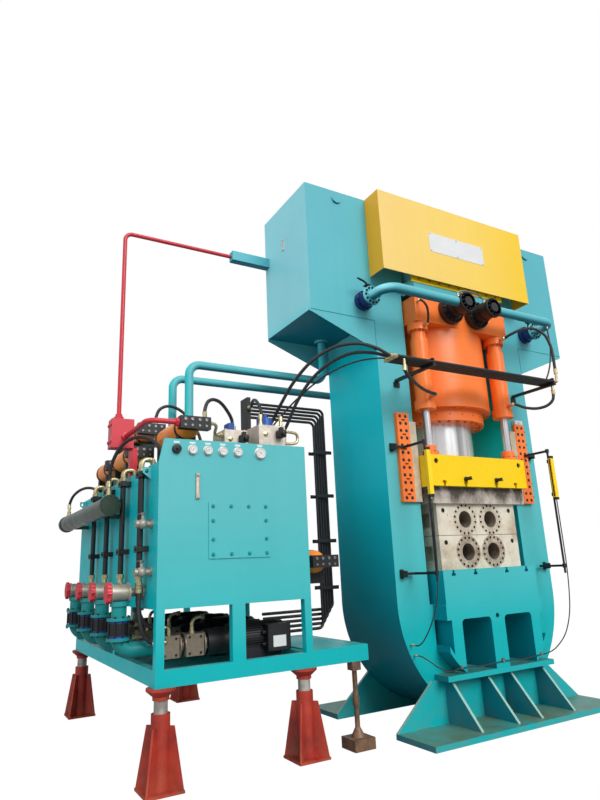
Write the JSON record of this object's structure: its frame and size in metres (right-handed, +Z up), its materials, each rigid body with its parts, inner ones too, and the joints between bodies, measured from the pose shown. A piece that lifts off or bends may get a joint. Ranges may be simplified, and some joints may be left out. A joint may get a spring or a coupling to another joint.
{
  "type": "hydraulic forging press",
  "caption": "Floor-standing hydraulic forging press with a round-ended frame, closed dies, wing oil tanks and a pump unit on jack stands; the slide moves up and down.",
  "frame": {"origin": "middle of the front foot's floor face", "axes": "+Z up, +X to the right of a viewer in front of the dies, +Y from the front to the back"},
  "size_m": [5.887, 3.942, 5.73],
  "materials": {
    "teal_paint": "semi-gloss teal enamel with dust and scuffs",
    "yellow_paint": "semi-gloss yellow enamel",
    "orange_paint": "semi-gloss orange enamel",
    "red_paint": "red enamel, dusty on the stands",
    "chrome": "polished hard chrome",
    "die_steel": "machined steel with rust and oil stains",
    "blue_paint": "blue enamel",
    "black_paint": "satin black enamel",
    "pump_iron": "bare grey-brown casting",
    "grey_alloy": "dull cast alloy",
    "cooler_green": "dark green enamel",
    "bearing_bronze": "dull machined bronze",
    "zinc_plate": "yellow zinc plating",
    "yellow_plastic": "moulded yellow housing",
    "hose_rubber": "matte black hose cover"
  },
  "bodies": {
    "press": {"frame_columns": "teal_paint", "frame_arches": "teal_paint", "lower_yoke": "teal_paint", "upper_yoke": "teal_paint", "foot_plates": "teal_paint", "foot_webs": "teal_paint", "foot_bars": "teal_paint", "foot_gussets": "teal_paint", "bolster": "teal_paint", "lower_die": "die_steel", "wing_tank_ends": "teal_paint", "wing_tank_sides": "teal_paint", "wing_tank_floors": "teal_paint", "wing_tank_roofs": "teal_paint", "wing_tank_brackets": "teal_paint", "yellow_cover": "yellow_paint", "cylinder_block": "orange_paint", "main_cylinder": "orange_paint", "gland_ring": "orange_paint", "return_cylinders": "orange_paint", "prefill_valves": "black_paint", "prefill_pipes": "teal_paint", "butterfly_valves": "blue_paint", "guide_strips": "orange_paint", "gibs": "bearing_bronze", "manifold_pipes": "black_paint", "column_brackets": "black_paint", "light_curtains": "yellow_plastic", "unit_base": "teal_paint", "bay_posts": "teal_paint", "tank_ends": "teal_paint", "tank_sides": "teal_paint", "tank_floor": "teal_paint", "tank_roof": "teal_paint", "gauge_panel": "teal_paint", "access_cover": "teal_paint", "motors": "black_paint", "bell_housings": "black_paint", "pumps": "pump_iron", "suction_lines": "teal_paint", "suction_filters": "grey_alloy", "riser_pipes": "black_paint", "cooler": "cooler_green", "accumulators": "orange_paint", "accumulator_blocks": "black_paint", "valve_blocks": "die_steel", "red_pipework": "red_paint", "link_pipes": "teal_paint", "pipe_rack": "black_paint", "jack_stands": "red_paint", "hose_fittings": "zinc_plate", "press_hoses": "hose_rubber", "supply_hoses": "hose_rubber", "unit_hoses": "hose_rubber"},
    "slide": {"ram": "chrome", "return_rods": "chrome", "rod_lugs": "orange_paint", "slide": "yellow_paint", "upper_tool_plate": "die_steel", "upper_die": "die_steel"}
  },
  "joints": [
    {"name": "slide_stroke", "type": "slide", "parent": "press", "child": "slide", "axis": [0, 0, 1], "range_m": [0, 0.38]}
  ]
}
